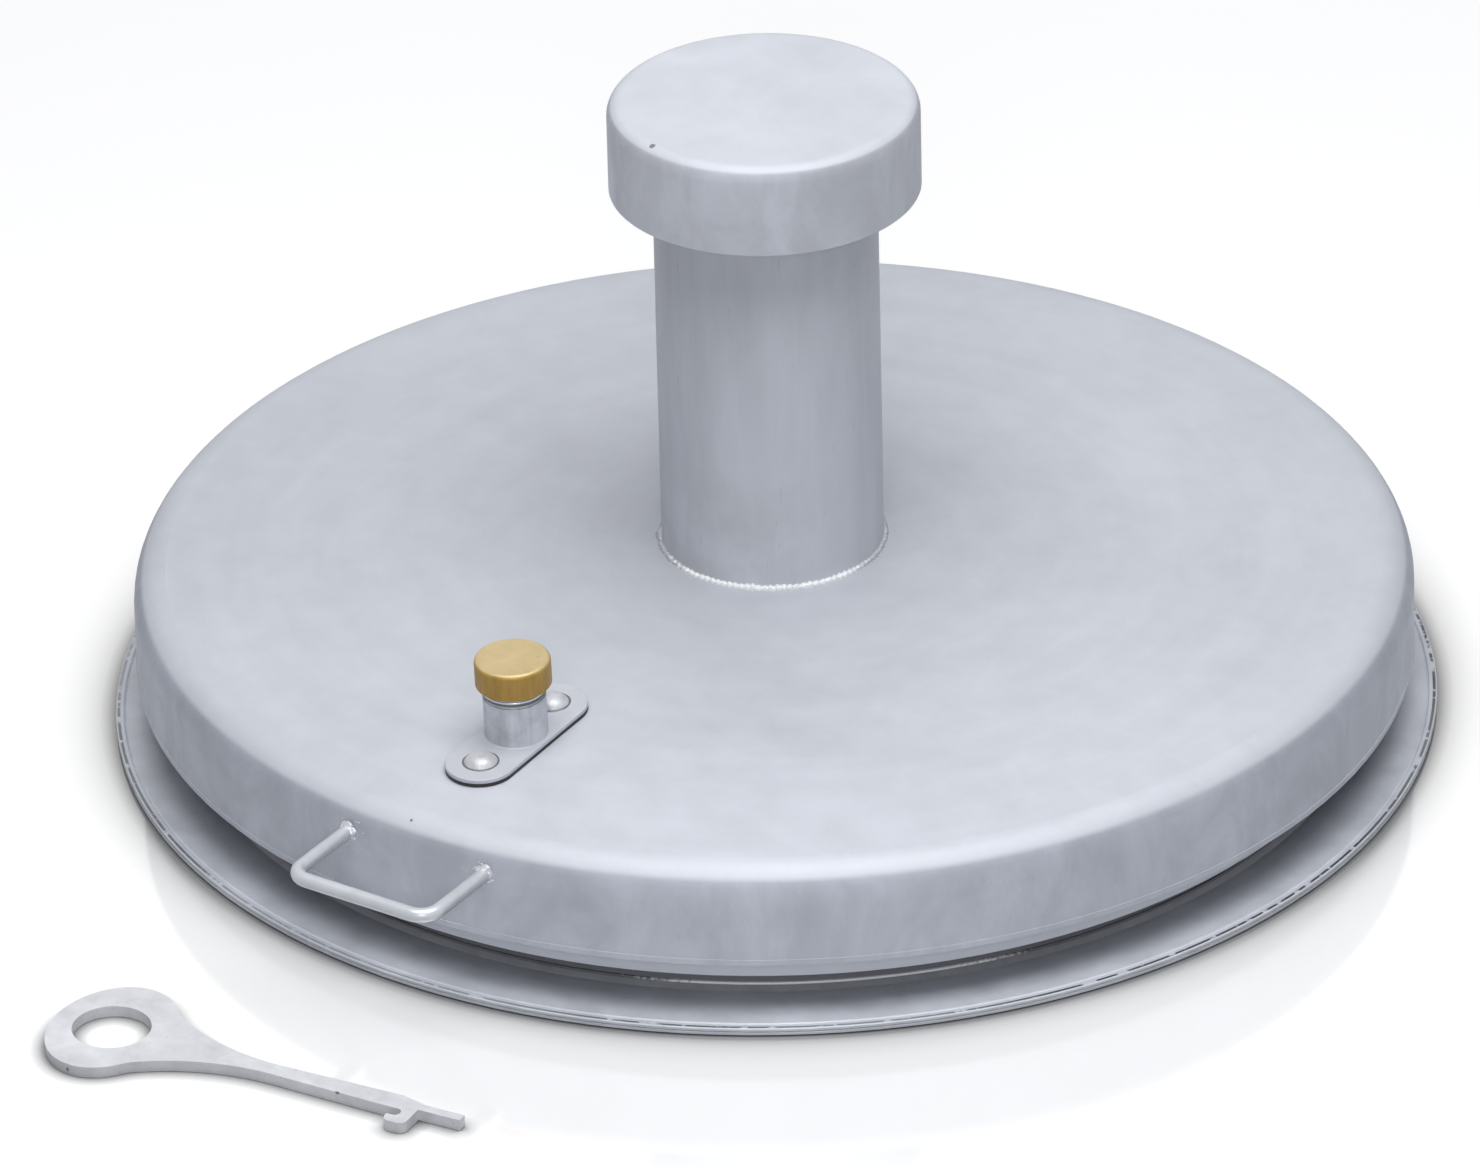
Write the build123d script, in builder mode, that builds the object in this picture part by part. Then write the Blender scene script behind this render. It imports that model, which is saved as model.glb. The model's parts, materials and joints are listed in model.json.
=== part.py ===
"""Round vented manway cover: a shaft frame, a domed hinged lid with a vent, a key lock and its loose key."""

from build123d import *
import os
from math import asin, cos, degrees, radians, sin, sqrt

os.makedirs("parts", exist_ok=True)

# Millimetres. The origin is the centre of the frame's underside, +Z is up, the handle and the lock face -Y
# and the hinge is on +Y.

# Clearances
seat_gap = 0.3  # between pieces that are welded or pressed together
hole_gap = 0.3  # round screws and tubes that pass through sheet
pin_gap = 0.05  # hinge pin in its eyes
slide_gap = 0.4  # lock bolt in its windows
thread_gap = 0.3  # cap round the lock tube

# Shaft frame
clear_opening = 600.0
neck_wall = 3.0
neck_top = 76.0
flange_thickness = 4.0
flange_overhang = 12.2  # beyond the lid's skirt
hem_width = 4.7
hem_groove = 0.8
neck_weld_leg = 3.0

# Rubber edging on the neck
edging_wall = 2.5
edging_grip = 6.0  # down each side of the neck
edging_rise = 6.9  # above the neck

# Anchor lugs inside the frame
lug_count = 4
lug_reach = 30.0
lug_width = 40.0
lug_thickness = 5.0
lug_hole_radius = 6.5
lug_first_angle = 45.0

# Lid
lid_sheet = 2.5
crown_height = 9.0
shoulder_radius = 17.6
skirt_depth = 51.0
inner_skirt_depth = 66.5
inner_skirt_sheet = 2.5
inner_skirt_gap = 8.3  # from the neck to the inner skirt
skirt_spacing = 15.5  # from the inner skirt's outside to the lid's outside
hem_height = 3.0
hem_bulge = 0.5

# Vent
pipe_diameter = 114.3
pipe_wall = 3.0
pipe_spigot = 22.0  # below the lid
pipe_rise = 225.0  # above the lid
vent_weld_leg = 4.5
hood_diameter = 158.6
hood_sheet = 2.0
hood_depth = 47.8
hood_corner_radius = 7.5
hood_headroom = 24.0  # from the pipe's end to the inside of the hood's top
stay_count = 3
stay_thickness = 4.0
stay_height = 22.0
stay_first_angle = 30.0
screen_wall = 1.2
screen_slot_count = 24
screen_slot_width = 4.0
screen_slot_margin = 4.0

# Handle
handle_rod = 7.5
handle_pitch = 82.0
handle_reach = 47.0  # from the skirt to the middle of the grip
handle_drop = 16.0  # below the lid's rim
handle_bend = 10.0
handle_weld_radius = 6.0
handle_weld_toe = 1.0  # how much wider the weld is behind the skirt's face
handle_weld_crest = 0.8  # how much wider than the rod it ends
handle_weld_length = 5.0

# Lock flange and tube
lock_distance = 235.5  # from the lid's centre
lock_plate_thickness = 2.0
lock_plate_radius = 18.0
lock_gasket_thickness = 2.0
screw_pitch = 64.0
screw_radius = 3.0
screw_head_radius = 8.6
screw_head_height = 4.0
screw_tail = 4.0  # below the nut
washer_radius = 6.0
washer_thickness = 1.2
nut_flats = 10.0
nut_height = 5.0
lock_tube_radius = 16.0
lock_tube_bore = 14.0
lock_tube_rise = 38.5  # above the plate
lock_tube_tail = 8.0  # below the lid
thread_length = 14.0
thread_relief = 2.0
thread_relief_depth = 0.7

# Screw cap
cap_radius = 19.3
cap_height = 14.8
cap_top = 3.5
cap_edge = 2.4
cap_mouth = 0.6
seal_thickness = 1.2
seal_bore = 8.0

# Lock case and bolt
case_flange = 3.0
case_width = 46.0
case_length = 48.0
case_depth = 43.0
case_wall = 2.0
bolt_width = 34.0
bolt_thickness = 8.0
bolt_depth = 25.0  # from the lid's outside to the bolt's top
bolt_nose = 40.0  # from the lock's axis, drawn back
bolt_tail = 44.0
bolt_throw = 18.0
bolt_window_width = 24.0
bolt_nose_width = 26.0
bolt_nose_length = 12.0

# Catch on the neck
catch_thickness = 4.0
catch_lip = 20.0
catch_height = 27.0
catch_width = 44.0
catch_gap = 1.0

# Hinge
hinge_pin_radius = 5.0
hinge_pin_height = 15.0
hinge_pin_inset = 0.5  # from the flange's edge
hinge_leaf_width = 50.0
hinge_leaf_thickness = 5.0
hinge_leaf_height = 36.0  # up the skirt
hinge_eye_radius = 9.0
ear_eye_radius = 10.0
ear_thickness = 5.0
ear_base = 9.0
ear_foot = 2.0
ear_gap = 1.0
stop_bar_radius = 3.0
stop_bar_margin = 2.0
stop_distance = 20.0
open_angle = 95.0
pin_head_radius = 8.0
pin_head_height = 3.0
pin_end = 5.0
clip_thickness = 1.0
clip_depth = 0.8
clip_radius = 7.6
clip_opening = 3.0

# Key, which lies on the ground beside the frame
key_thickness = 6.0
key_bow_length = 61.4
key_bow_width = 79.2
key_eye_radius = 19.8
key_length = 197.0  # from the bow's centre to the tip
key_neck = 91.0
key_neck_width = 9.0
key_flare_angle = 41.0  # round the bow from the shank, where the flare meets it
key_flare_blend = 20.0
key_shank_width = 12.2
key_tip_width = 5.2
key_tip_length = 23.0
key_bit_drop = 17.8
key_bit_width = 12.5
key_slot = 6.0
key_slot_depth = 6.0
key_slot_drop = 5.9
key_foot_radius = 4.0
key_angle = 5.65
key_bow_x = -94.6
key_bow_y = -457.7

# Radii and heights that follow
neck_inner = clear_opening / 2
neck_outer = neck_inner + neck_wall
inner_skirt_inner = neck_outer + inner_skirt_gap
inner_skirt_outer = inner_skirt_inner + inner_skirt_sheet
lid_radius = inner_skirt_outer + skirt_spacing
flange_radius = lid_radius + flange_overhang
crown_radius = (lid_radius**2 + crown_height**2) / (2 * crown_height)
edging_top = neck_top + edging_rise
pipe_radius = pipe_diameter / 2
pipe_bore = pipe_radius - pipe_wall
hood_radius = hood_diameter / 2
rod_radius = handle_rod / 2


def crown_drop(radius):
    """How far the lid's top has fallen below its centre at this radius."""
    return crown_radius - sqrt(crown_radius**2 - radius**2)


lid_top = edging_top + seat_gap + lid_sheet + crown_drop((neck_inner + neck_outer) / 2)


def crown_z(radius):
    """Height of the lid's outside at this radius, as if it had no shoulder."""
    return lid_top - crown_drop(radius)


rim_z = crown_z(lid_radius)
skirt_bottom = rim_z - skirt_depth
inner_skirt_bottom = rim_z - inner_skirt_depth
pipe_seat = crown_z(pipe_radius)
pipe_top = pipe_seat + pipe_rise
hood_top = pipe_top + hood_headroom + hood_sheet
hood_bottom = hood_top - hood_depth
handle_z = rim_z - handle_drop
pin_y = flange_radius - hinge_pin_inset
pin_z = hinge_pin_height

# The lock stands square to the dome. Heights on its plane are from the lid's outside.
lock_slope = asin(lock_distance / crown_radius)
lock_plane = Plane(
    origin=(0, -lock_distance, crown_z(lock_distance)),
    x_dir=(1, 0, 0),
    z_dir=(0, -sin(lock_slope), cos(lock_slope)),
)
lock_axis = Axis(lock_plane.origin, lock_plane.z_dir)
plate_top = lock_gasket_thickness + lock_plate_thickness
tube_top = plate_top + lock_tube_rise
case_top = -(lid_sheet + seat_gap)
case_under = case_top - case_flange
seal_bottom = tube_top + seat_gap
cap_inside = seal_bottom + seal_thickness + seat_gap
cap_bottom = cap_inside + cap_top - cap_height
screw_places = [(0, screw_pitch / 2), (0, -screw_pitch / 2)]


def save(builder, name):
    """Label a finished piece and write it."""
    builder.part.label = name
    export_step(builder.part, f"parts/{name}.step")


def ring(plane, outer, inner, height):
    """A plain ring that stands on a plane."""
    with BuildPart() as body:
        with BuildSketch(plane):
            Circle(outer)
            Circle(inner, mode=Mode.SUBTRACT)
        extrude(amount=height)
    return body.part


def dome_section(inset):
    """Half section of the space inside the lid's outer face, drawn in by an inset."""
    edge = lid_radius - inset
    top = (0, lid_top - inset)
    corner = (edge, crown_z(edge) - inset)
    with BuildSketch(Plane.XZ) as section:
        with BuildLine():
            ThreePointArc(top, (edge / 2, crown_z(edge / 2) - inset), corner)
            Polyline(corner, (edge, skirt_bottom), (0, skirt_bottom), top)
        make_face()
        shoulder = section.vertices().group_by(Axis.X)[-1].sort_by(Axis.Y)[-1]
        fillet(shoulder, shoulder_radius - inset)
    return section.sketch


# ---------------------------------------------------------------- frame

with BuildPart() as base_flange:
    with BuildSketch(Plane.XZ):
        with BuildLine():
            Polyline(
                (neck_inner, 0),
                (flange_radius - hem_groove / 2, 0),
                (flange_radius, hem_groove / 2),
                (flange_radius, (flange_thickness - hem_groove) / 2),
                (flange_radius - hem_groove, flange_thickness / 2),
                (flange_radius, (flange_thickness + hem_groove) / 2),
                (flange_radius, flange_thickness - hem_groove / 2),
                (flange_radius - hem_groove / 2, flange_thickness),
                (flange_radius - hem_width + hem_groove, flange_thickness),
                (flange_radius - hem_width, flange_thickness - hem_groove),
                (flange_radius - hem_width - hem_groove, flange_thickness),
                (neck_inner, flange_thickness),
                close=True,
            )
        make_face()
    revolve(axis=Axis.Z)
save(base_flange, "base_flange")

with BuildPart() as frame_neck:
    add(ring(Plane.XY.offset(flange_thickness), neck_outer, neck_inner, neck_top - flange_thickness))
save(frame_neck, "frame_neck")

with BuildPart() as neck_weld:
    with BuildSketch(Plane.XZ):
        with Locations((neck_outer, flange_thickness)):
            Triangle(a=neck_weld_leg, c=neck_weld_leg, B=90, align=(Align.MIN, Align.MIN))
    revolve(axis=Axis.Z)
save(neck_weld, "neck_weld")

with BuildPart() as neck_gasket:
    add(
        ring(
            Plane.XY.offset(neck_top - edging_grip),
            neck_outer + edging_wall,
            neck_inner - edging_wall,
            edging_grip + edging_rise,
        )
    )
    fillet(neck_gasket.edges().group_by(Axis.Z)[-1], edging_wall)
    add(
        ring(Plane.XY.offset(neck_top - edging_grip), neck_outer, neck_inner, edging_grip),
        mode=Mode.SUBTRACT,
    )
save(neck_gasket, "neck_gasket")

with BuildPart() as anchor_lugs:
    with BuildSketch():
        with PolarLocations(0, lug_count, start_angle=lug_first_angle):
            with Locations((neck_inner, 0)):
                RectangleRounded(2 * lug_reach, lug_width, lug_width / 5)
        Circle(neck_inner - seat_gap, mode=Mode.INTERSECT)
        with PolarLocations(neck_inner - lug_reach / 2, lug_count, start_angle=lug_first_angle):
            Circle(lug_hole_radius, mode=Mode.SUBTRACT)
    extrude(amount=lug_thickness)
save(anchor_lugs, "anchor_lugs")

# The catch hangs on the inside of the neck, and its lip stands over the thrown bolt.
lip_reach = (neck_inner - catch_lip - lock_distance) / cos(lock_slope)
lip_under = (
    crown_z(lock_distance)
    - bolt_depth * cos(lock_slope)
    - lip_reach * sin(lock_slope)
    + catch_gap
)
with BuildPart() as catch_plate:
    with BuildSketch(Plane.YZ.offset(-catch_width / 2)) as angle:
        with BuildLine():
            Polyline(
                (-neck_inner + catch_lip, lip_under),
                (-neck_inner + catch_thickness, lip_under),
                (-neck_inner + catch_thickness, lip_under + catch_thickness - catch_height),
                (-neck_inner - catch_thickness, lip_under + catch_thickness - catch_height),
                (-neck_inner - catch_thickness, lip_under + catch_thickness),
                (-neck_inner + catch_lip, lip_under + catch_thickness),
                close=True,
            )
        make_face()
    extrude(amount=catch_width)
    fillet(catch_plate.edges().filter_by(Axis.Z).sort_by(Axis.Y)[-2:], catch_thickness)
    with BuildSketch(Plane.XY):
        Circle(neck_inner - seat_gap)
    extrude(amount=neck_top, mode=Mode.INTERSECT)
save(catch_plate, "catch_plate")

# ---------------------------------------------------------------- hinge

leaf_inner = lid_radius + hem_bulge + seat_gap
leaf_outer = leaf_inner + hinge_leaf_thickness
ear_inner = hinge_leaf_width / 2 + ear_gap
ear_outer = ear_inner + ear_thickness
# The stop bar meets the leaf's outer face when the lid stands open.
face_offset = pin_y - leaf_outer
bar_offset = stop_bar_radius + seat_gap - face_offset
stop_y = pin_y + stop_distance * sin(radians(open_angle)) + bar_offset * cos(radians(open_angle))
stop_z = pin_z + stop_distance * cos(radians(open_angle)) - bar_offset * sin(radians(open_angle))

with BuildPart() as hinge_bracket:
    for ear_x in (-ear_outer, ear_inner):
        with BuildSketch(Plane.YZ.offset(ear_x)):
            with Locations((pin_y, pin_z)):
                Circle(ear_eye_radius)
            with Locations((stop_y, stop_z)):
                Circle(stop_bar_radius + stop_bar_margin)
            with Locations((flange_radius - hem_width - ear_base / 2, flange_thickness)):
                Rectangle(ear_base, ear_foot, align=(Align.CENTER, Align.MIN))
            make_hull()
            with Locations((pin_y, pin_z)):
                Circle(hinge_pin_radius + pin_gap, mode=Mode.SUBTRACT)
        extrude(amount=ear_thickness)
    with BuildSketch(Plane.YZ.offset(-ear_inner)):
        with Locations((stop_y, stop_z)):
            Circle(stop_bar_radius)
    extrude(amount=2 * ear_inner)
save(hinge_bracket, "hinge_bracket")

with BuildPart() as hinge_leaf:
    leaf_top = skirt_bottom + hinge_leaf_height
    with BuildSketch(Plane.YZ.offset(-hinge_leaf_width / 2)):
        with Locations((leaf_inner, pin_z)):
            Rectangle(hinge_leaf_thickness, leaf_top - pin_z, align=Align.MIN)
        with Locations((pin_y, pin_z)):
            Circle(hinge_eye_radius)
            Circle(hinge_pin_radius + pin_gap, mode=Mode.SUBTRACT)
    extrude(amount=hinge_leaf_width)
    top_corners = hinge_leaf.edges().filter_by(Axis.Y).group_by(Axis.Z)[-1]
    fillet(top_corners, 2 * hinge_leaf_thickness)
save(hinge_leaf, "hinge_leaf")

clip_seat = ear_outer + seat_gap
with BuildPart() as hinge_pin:
    with BuildSketch(Plane.YZ.offset(-ear_outer - seat_gap - pin_head_height)):
        with Locations((pin_y, pin_z)):
            Circle(pin_head_radius)
    extrude(amount=pin_head_height)
    with BuildSketch(Plane.YZ.offset(-ear_outer - seat_gap)):
        with Locations((pin_y, pin_z)):
            Circle(hinge_pin_radius)
    extrude(amount=2 * ear_outer + pin_end + seat_gap)
    with BuildSketch(Plane.YZ.offset(clip_seat)):
        with Locations((pin_y, pin_z)):
            Circle(hinge_pin_radius)
            Circle(hinge_pin_radius - clip_depth, mode=Mode.SUBTRACT)
    extrude(amount=clip_thickness + seat_gap, mode=Mode.SUBTRACT)
save(hinge_pin, "hinge_pin")

with BuildPart() as hinge_clip:
    with BuildSketch(Plane.YZ.offset(clip_seat + seat_gap / 2)):
        with Locations((pin_y, pin_z)):
            Circle(clip_radius)
            Circle(hinge_pin_radius - clip_depth + pin_gap, mode=Mode.SUBTRACT)
            Rectangle(clip_opening, 2 * clip_radius, align=(Align.CENTER, Align.MAX), mode=Mode.SUBTRACT)
    extrude(amount=clip_thickness)
save(hinge_clip, "hinge_clip")

# ---------------------------------------------------------------- lid

with BuildPart() as lid_shell:
    revolve(dome_section(0), axis=Axis.Z)
    add(ring(Plane.XY.offset(skirt_bottom), lid_radius + hem_bulge, lid_radius - 2 * lid_sheet, hem_height))
    revolve(dome_section(lid_sheet), axis=Axis.Z, mode=Mode.SUBTRACT)
    with BuildSketch(Plane.XY.offset(rim_z)):
        Circle(pipe_radius + hole_gap)
    extrude(amount=crown_height, mode=Mode.SUBTRACT)
    with BuildSketch(lock_plane):
        Circle(lock_tube_radius + hole_gap)
        with Locations(*screw_places):
            Circle(screw_radius + hole_gap)
    extrude(amount=2 * lid_sheet, both=True, mode=Mode.SUBTRACT)
save(lid_shell, "lid_shell")

with BuildPart() as inner_skirt:
    add(
        ring(
            Plane.XY.offset(inner_skirt_bottom),
            inner_skirt_outer,
            inner_skirt_inner,
            inner_skirt_depth,
        )
    )
    with BuildPart(mode=Mode.PRIVATE) as above_skirt:
        revolve(dome_section(lid_sheet + seat_gap), axis=Axis.Z)
        with BuildSketch(Plane.XY.offset(inner_skirt_bottom)):
            Circle(inner_skirt_outer + 1)
        extrude(amount=skirt_bottom - inner_skirt_bottom)
    add(above_skirt.part, mode=Mode.INTERSECT)
save(inner_skirt, "inner_skirt")

with BuildPart() as vent_pipe:
    pipe_foot = pipe_seat - lid_sheet - pipe_spigot
    add(ring(Plane.XY.offset(pipe_foot), pipe_radius, pipe_bore, pipe_top - pipe_foot))
save(vent_pipe, "vent_pipe")

with BuildPart() as vent_weld:
    with BuildSketch(Plane.XZ):
        with BuildLine():
            toe_r = pipe_radius + vent_weld_leg
            toe = (toe_r, crown_z(toe_r) + pin_gap)
            root = (pipe_radius, pipe_seat + pin_gap)
            crest = (pipe_radius, pipe_seat + vent_weld_leg)
            bulge = (pipe_radius + 0.58 * vent_weld_leg, pipe_seat + 0.58 * vent_weld_leg)
            ThreePointArc(toe, bulge, crest)
            Polyline(crest, root, toe)
        make_face()
    revolve(axis=Axis.Z)
save(vent_weld, "vent_weld")

with BuildPart() as vent_hood:
    with BuildSketch(Plane.XY.offset(hood_bottom)):
        Circle(hood_radius)
    extrude(amount=hood_depth)
    fillet(vent_hood.edges().group_by(Axis.Z)[-1], hood_corner_radius)
    offset(amount=-hood_sheet, openings=vent_hood.faces().sort_by(Axis.Z)[0])
save(vent_hood, "vent_hood")

with BuildPart() as hood_stays:
    hood_bore = hood_radius - hood_sheet
    with BuildSketch(Plane.XY.offset(pipe_top - stay_height)):
        with PolarLocations(0, stay_count, start_angle=stay_first_angle):
            Rectangle(hood_radius, stay_thickness, align=(Align.MIN, Align.CENTER))
        Circle(hood_bore - seat_gap, mode=Mode.INTERSECT)
        Circle(pipe_radius + seat_gap, mode=Mode.SUBTRACT)
    extrude(amount=stay_height)
save(hood_stays, "hood_stays")

with BuildPart() as insect_screen:
    screen_height = hood_headroom - seat_gap
    screen_outer = (pipe_radius + pipe_bore + screen_wall) / 2
    add(ring(Plane.XY.offset(pipe_top), screen_outer, screen_outer - screen_wall, screen_height))
    slot_height = screen_height - 2 * screen_slot_margin
    for index in range(screen_slot_count // 2):
        spoke = Plane.XZ.rotated((0, 0, index * 360 / screen_slot_count))
        with BuildSketch(spoke):
            with Locations((0, pipe_top + screen_height / 2)):
                SlotOverall(slot_height, screen_slot_width, rotation=90)
        extrude(amount=pipe_radius, both=True, mode=Mode.SUBTRACT)
save(insect_screen, "insect_screen")

# ---------------------------------------------------------------- handle

grip_y = -(lid_radius + handle_reach)
half_pitch = handle_pitch / 2
leg_end = (half_pitch, -(lid_radius - 3 * handle_rod))
with BuildPart() as handle:
    with BuildLine(Plane.XY.offset(handle_z)) as bent_rod:
        FilletPolyline(
            (-leg_end[0], leg_end[1]),
            (-half_pitch, grip_y),
            (half_pitch, grip_y),
            leg_end,
            radius=handle_bend,
        )
    with BuildSketch(Plane.XZ.offset(-leg_end[1])):
        with Locations((-half_pitch, handle_z)):
            Circle(rod_radius)
    sweep(path=bent_rod.line)
    revolve(dome_section(-seat_gap), axis=Axis.Z, mode=Mode.SUBTRACT)
save(handle, "handle")

weld_root = sqrt(lid_radius**2 - half_pitch**2)
with BuildPart() as handle_welds:
    for side in (-1, 1):
        with BuildSketch(Plane.XZ.offset(weld_root - handle_weld_length)):
            with Locations((side * half_pitch, handle_z)):
                Circle(handle_weld_radius + handle_weld_toe)
        with BuildSketch(Plane.XZ.offset(weld_root + handle_weld_length)):
            with Locations((side * half_pitch, handle_z)):
                Circle(rod_radius + handle_weld_crest)
        loft()
        with BuildSketch(Plane.XZ.offset(weld_root - handle_rod)):
            with Locations((side * half_pitch, handle_z)):
                Circle(rod_radius + pin_gap)
        extrude(amount=2 * handle_rod, mode=Mode.SUBTRACT)
    revolve(dome_section(-seat_gap), axis=Axis.Z, mode=Mode.SUBTRACT)
save(handle_welds, "handle_welds")

# ---------------------------------------------------------------- lock


def lock_flange(radius_inset, thickness, height):
    """An obround plate with the tube's hole and two screw holes, on the lock's plane."""
    with BuildPart() as body:
        with BuildSketch(lock_plane.offset(height)):
            SlotOverall(
                screw_pitch + 2 * (lock_plate_radius - radius_inset),
                2 * (lock_plate_radius - radius_inset),
                rotation=90,
            )
            Circle(lock_tube_radius + pin_gap, mode=Mode.SUBTRACT)
            with Locations(*screw_places):
                Circle(screw_radius + hole_gap, mode=Mode.SUBTRACT)
        extrude(amount=thickness)
    return body.part


def lock_section(side_y):
    """Plane through a vertical axis of the lock, with local x sideways and local y up that axis."""
    return Plane(
        origin=lock_plane.from_local_coords(Vector(0, side_y, 0)),
        x_dir=(1, 0, 0),
        z_dir=-lock_plane.y_dir,
    )


with BuildPart() as lock_gasket:
    add(lock_flange(0, lock_gasket_thickness, 0))
save(lock_gasket, "lock_gasket")

with BuildPart() as lock_plate:
    add(lock_flange(0, lock_plate_thickness, lock_gasket_thickness))
    top_rim = lock_plate.faces().sort_by(lock_axis)[-1].outer_wire().edges()
    fillet(top_rim, lock_plate_thickness / 4)
save(lock_plate, "lock_plate")

with BuildPart() as lock_tube:
    tube_bottom = -lid_sheet - lock_tube_tail
    add(ring(lock_plane.offset(tube_bottom), lock_tube_radius, lock_tube_bore, tube_top - tube_bottom))
    relief = lock_plane.offset(tube_top - thread_length - thread_relief)
    add(
        ring(relief, lock_tube_radius, lock_tube_radius - thread_relief_depth, thread_relief),
        mode=Mode.SUBTRACT,
    )
    rim = lock_tube.edges().group_by(lock_axis)[-1]
    chamfer(rim, thread_relief_depth)
save(lock_tube, "lock_tube")

with BuildPart() as lock_screws:
    for place in screw_places:
        with BuildSketch(lock_section(place[1])):
            with BuildLine():
                crest = (0, plate_top + screw_head_height)
                dome_angle = radians(45)
                on_dome = (
                    screw_head_radius * sin(dome_angle),
                    plate_top + screw_head_height * cos(dome_angle),
                )
                rim_point = (screw_head_radius, plate_top)
                tail = case_under - washer_thickness - nut_height - screw_tail
                ThreePointArc(crest, on_dome, rim_point)
                Polyline(rim_point, (screw_radius, plate_top), (screw_radius, tail), (0, tail), crest)
            make_face()
        axis_point = lock_plane.from_local_coords(Vector(0, place[1], 0))
        revolve(axis=Axis(axis_point, lock_plane.z_dir))
save(lock_screws, "lock_screws")

with BuildPart() as lock_washers:
    with BuildSketch(lock_plane.offset(case_under - washer_thickness)):
        with Locations(*screw_places):
            Circle(washer_radius)
            Circle(screw_radius + hole_gap, mode=Mode.SUBTRACT)
    extrude(amount=washer_thickness)
save(lock_washers, "lock_washers")

with BuildPart() as lock_nuts:
    with BuildSketch(lock_plane.offset(case_under - washer_thickness - nut_height)):
        with Locations(*screw_places):
            RegularPolygon(nut_flats / 2, 6, major_radius=False)
            Circle(screw_radius + pin_gap, mode=Mode.SUBTRACT)
    extrude(amount=nut_height)
save(lock_nuts, "lock_nuts")

bolt_under = -bolt_depth - bolt_thickness
# The key turns about the middle of its bit, so its tip stands off the tube's axis.
key_axis_offset = (key_bit_drop - key_shank_width / 2) / 2
with BuildPart() as lock_case:
    with BuildSketch(lock_plane.offset(case_under)):
        RectangleRounded(case_width, screw_pitch + 2 * lock_plate_radius, lock_plate_radius / 2)
    extrude(amount=case_flange)
    with BuildSketch(lock_plane.offset(case_under - case_depth)):
        Rectangle(case_width, case_length)
    extrude(amount=case_depth)
    with BuildSketch(lock_plane.offset(case_under - case_depth + case_wall)):
        Rectangle(case_width - 2 * case_wall, case_length - 2 * case_wall)
    extrude(amount=case_depth - case_wall, mode=Mode.SUBTRACT)
    with BuildSketch(lock_plane.offset(case_under)):
        Circle(lock_tube_radius + hole_gap)
        with Locations(*screw_places):
            Circle(screw_radius + hole_gap)
    extrude(amount=case_flange, mode=Mode.SUBTRACT)
    with BuildSketch(lock_plane.offset(bolt_under - slide_gap)):
        Rectangle(bolt_width + 2 * slide_gap, 2 * case_length)
    extrude(amount=bolt_thickness + 2 * slide_gap, mode=Mode.SUBTRACT)
    with BuildSketch(lock_plane.offset(case_under - case_depth)):
        with Locations((key_axis_offset, 0)):
            Circle(sqrt(key_tip_width**2 + key_thickness**2) / 2 + hole_gap)
    extrude(amount=case_wall, mode=Mode.SUBTRACT)
save(lock_case, "lock_case")

with BuildPart() as lock_bolt:
    with BuildSketch(lock_plane.offset(bolt_under)):
        with BuildLine():
            half = bolt_width / 2
            nose_half = bolt_nose_width / 2
            Polyline(
                (-half, bolt_tail),
                (-half, -bolt_nose + bolt_nose_length),
                (-nose_half, -bolt_nose),
                (nose_half, -bolt_nose),
                (half, -bolt_nose + bolt_nose_length),
                (half, bolt_tail),
                close=True,
            )
        make_face()
        # The key's bit works in this window, whichever end of its travel the bolt is at.
        bit_room = key_tip_width + slide_gap
        with Locations((0, (bolt_throw / 2))):
            RectangleRounded(
                bolt_window_width,
                bolt_throw + 2 * bit_room,
                key_slot / 2,
                mode=Mode.SUBTRACT,
            )
    extrude(amount=bolt_thickness)
    nose_top = lock_bolt.edges().filter_by(Axis.X).group_by(Axis.Y)[0].sort_by(Axis.Z)[-1]
    chamfer(nose_top, bolt_thickness / 3)
save(lock_bolt, "lock_bolt")

with BuildPart() as cap_seal:
    add(ring(lock_plane.offset(seal_bottom), lock_tube_radius - thread_gap, seal_bore, seal_thickness))
save(cap_seal, "cap_seal")

with BuildPart() as brass_cap:
    with BuildSketch(lock_plane.offset(cap_bottom)):
        Circle(cap_radius)
    extrude(amount=cap_height)
    cap_rims = brass_cap.edges().filter_by(GeomType.CIRCLE).sort_by(lock_axis)
    fillet(cap_rims[-1], cap_edge)
    chamfer(cap_rims[0], cap_mouth)
    with BuildSketch(lock_plane.offset(cap_bottom)):
        Circle(lock_tube_radius + thread_gap)
    extrude(amount=cap_inside - cap_bottom, mode=Mode.SUBTRACT)
save(brass_cap, "brass_cap")

# ---------------------------------------------------------------- key

key_plane = Plane(
    origin=(key_bow_x, key_bow_y, 0),
    x_dir=(cos(radians(key_angle)), sin(radians(key_angle)), 0),
    z_dir=(0, 0, 1),
)
neck_half = key_neck_width / 2
shank_half = key_shank_width / 2
tip_half = key_tip_width / 2
bit_end = key_length - key_tip_length
bit_start = bit_end - key_bit_width
# The flare's arc is tangent to the shank and runs back to a point on the bow's rim.
flare_x = key_bow_length / 2 * cos(radians(key_flare_angle))
flare_y = key_bow_width / 2 * sin(radians(key_flare_angle))
flare_run = key_neck - flare_x
flare_rise = flare_y - neck_half
flare_radius = (flare_run**2 + flare_rise**2) / (2 * flare_rise)
flare_sweep = degrees(asin(flare_run / flare_radius))

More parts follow.
